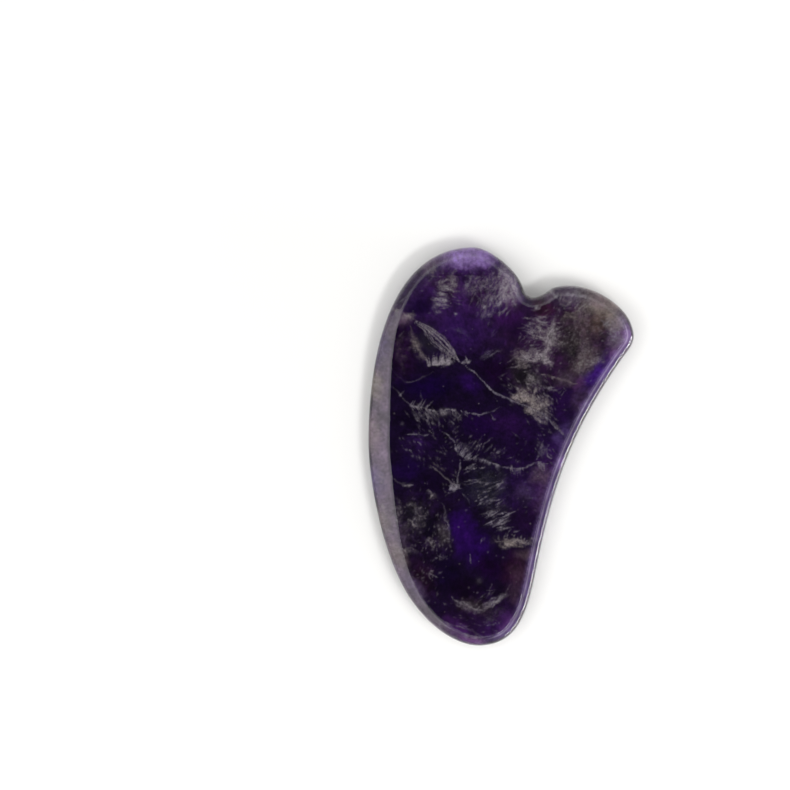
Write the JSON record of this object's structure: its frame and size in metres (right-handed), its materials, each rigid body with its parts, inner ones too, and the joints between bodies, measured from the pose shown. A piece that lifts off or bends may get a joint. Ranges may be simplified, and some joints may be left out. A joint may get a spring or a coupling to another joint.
{
  "type": "gua sha scraper",
  "caption": "Flat polished amethyst gua sha board with a round lobe, a notch beside a short wing, a broad convex back, a concave edge and a rounded tail.",
  "frame": {"origin": "under the middle of the board, on the flat face it rests on", "axes": "+Y towards the round lobe, +X towards the wing tip, +Z out of the upper face"},
  "size_m": [0.0554, 0.083, 0.006],
  "materials": {
    "amethyst": "polished"
  },
  "bodies": {
    "root": {"scraper_board": "amethyst"}
  },
  "joints": []
}
